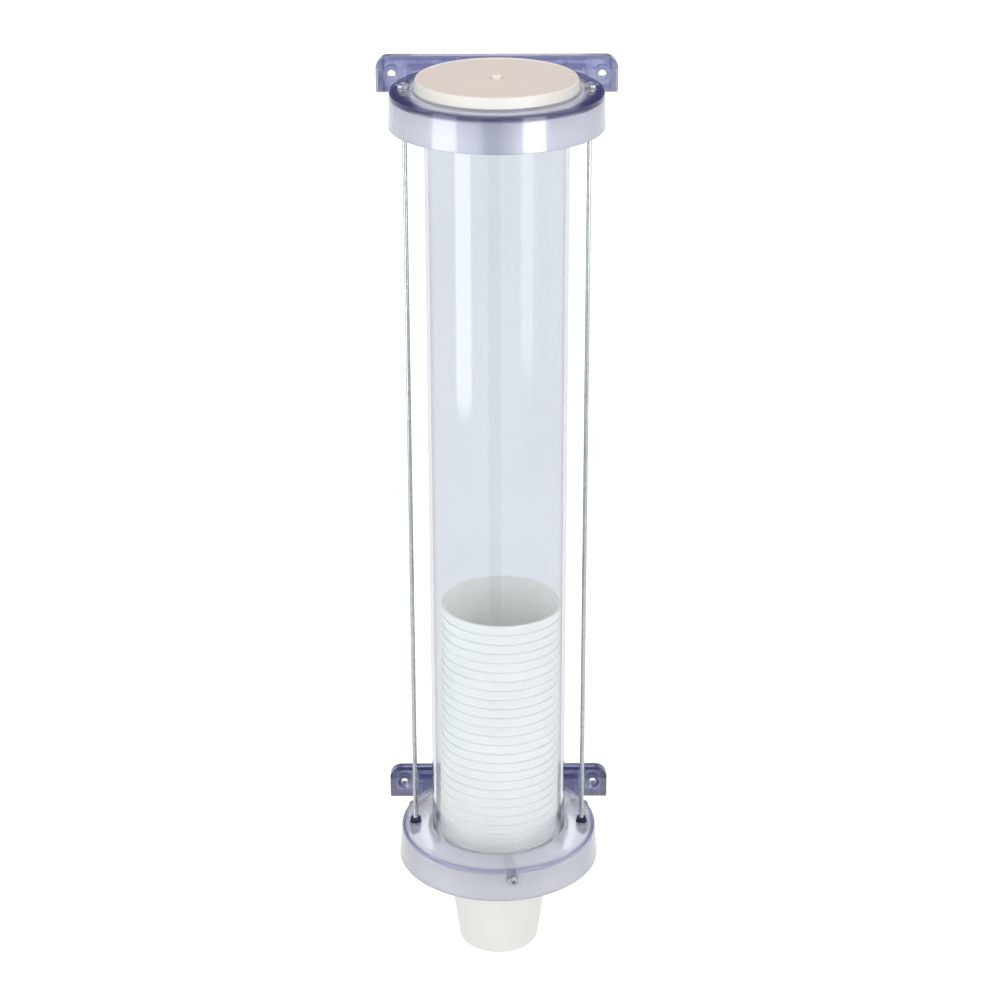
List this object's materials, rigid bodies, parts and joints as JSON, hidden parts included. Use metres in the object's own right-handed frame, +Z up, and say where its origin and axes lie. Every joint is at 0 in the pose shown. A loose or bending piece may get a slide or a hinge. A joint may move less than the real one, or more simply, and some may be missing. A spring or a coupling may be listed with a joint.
{
  "type": "wall-mounted cup dispenser",
  "caption": "Clear tube held by two tinted wall brackets and tie rods, with a lift-off cap and a nested column of cups that are pulled from below one at a time.",
  "frame": {"origin": "centre of the four wall-screw holes, on the wall plane that the plates' backs lie on", "axes": "+Z up along the tube, +Y into the wall, -Y out to the user, +X to the right as the user sees it"},
  "size_m": [0.137, 0.126, 0.5451],
  "materials": {
    "bracket_plastic": "clear tinted, polished",
    "tube_plastic": "clear extruded",
    "cap_plastic": "satin",
    "cup_plastic": "satin",
    "rod_steel": "drawn bright",
    "bright_hardware": "bright zinc",
    "dark_hardware": "dull steel",
    "insert_brass": "turned",
    "tip_rubber": "soft natural"
  },
  "bodies": {
    "root": {"upper_bracket": "bracket_plastic", "lower_bracket": "bracket_plastic", "tube": "tube_plastic", "tie_rod_left": "rod_steel", "tie_rod_right": "rod_steel", "top_washers": "bright_hardware", "top_nuts": "bright_hardware", "lock_washers": "dark_hardware", "lock_nuts": "dark_hardware", "bottom_washers": "dark_hardware", "bottom_nuts": "dark_hardware", "thread_insert_1": "insert_brass", "thread_insert_2": "insert_brass", "thread_insert_3": "insert_brass"},
    "cap": {"cap": "cap_plastic"},
    "cup_column": {"cup_02": "cup_plastic", "cup_03": "cup_plastic", "cup_04": "cup_plastic", "cup_05": "cup_plastic", "cup_06": "cup_plastic", "cup_07": "cup_plastic", "cup_08": "cup_plastic", "cup_09": "cup_plastic", "cup_10": "cup_plastic", "cup_11": "cup_plastic", "cup_12": "cup_plastic", "cup_13": "cup_plastic", "cup_14": "cup_plastic", "cup_15": "cup_plastic", "cup_16": "cup_plastic", "cup_17": "cup_plastic", "cup_18": "cup_plastic", "cup_19": "cup_plastic", "cup_20": "cup_plastic", "cup_21": "cup_plastic", "cup_22": "cup_plastic", "cup_23": "cup_plastic", "cup_24": "cup_plastic", "cup_25": "cup_plastic", "cup_26": "cup_plastic"},
    "lowest_cup": {"cup_01": "cup_plastic"},
    "tip_1": {"grip_tip_1": "tip_rubber"},
    "screw_1": {"grip_screw_1": "bright_hardware"},
    "tip_2": {"grip_tip_2": "tip_rubber"},
    "screw_2": {"grip_screw_2": "bright_hardware"},
    "tip_3": {"grip_tip_3": "tip_rubber"},
    "screw_3": {"grip_screw_3": "bright_hardware"}
  },
  "joints": [
    {"name": "cap_lift", "type": "slide", "parent": "root", "child": "cap", "axis": [0, 0, 1], "range_m": [0, 0.06]},
    {"name": "column_drop", "type": "slide", "parent": "root", "child": "cup_column", "axis": [0, 0, -1], "range_m": [-0.28, 0.006]},
    {"name": "cup_pull", "type": "slide", "parent": "cup_column", "child": "lowest_cup", "axis": [0, 0, -1], "range_m": [0, 0.1], "deforming": ["grip_tip_1", "grip_tip_2", "grip_tip_3"]},
    {"name": "tip_1_slide", "type": "slide", "parent": "root", "child": "tip_1", "axis": [0.1392, -0.9903, 0], "range_m": [0, 0.0028]},
    {"name": "screw_1_turn", "type": "hinge", "parent": "tip_1", "child": "screw_1", "pos_m": [0.00836, -0.12351, -0.2275], "axis": [0.1392, -0.9903, 0], "range_deg": [0, 2016]},
    {"name": "tip_2_slide", "type": "slide", "parent": "root", "child": "tip_2", "axis": [0.8829, 0.4695, 0], "range_m": [0, 0.0028]},
    {"name": "screw_2_turn", "type": "hinge", "parent": "tip_2", "child": "screw_2", "pos_m": [0.05307, -0.03578, -0.2275], "axis": [0.8829, 0.4695, 0], "range_deg": [0, 2016]},
    {"name": "tip_3_slide", "type": "slide", "parent": "root", "child": "tip_3", "axis": [-0.8829, 0.4695, 0], "range_m": [0, 0.0028]},
    {"name": "screw_3_turn", "type": "hinge", "parent": "tip_3", "child": "screw_3", "pos_m": [-0.05307, -0.03578, -0.2275], "axis": [-0.8829, 0.4695, 0], "range_deg": [0, 2016]}
  ],
  "couplings": [
    {"joint": "screw_1_turn", "follows": "tip_1_slide", "rad_per_m": 12566},
    {"joint": "screw_2_turn", "follows": "tip_2_slide", "rad_per_m": 12566},
    {"joint": "screw_3_turn", "follows": "tip_3_slide", "rad_per_m": 12566}
  ]
}
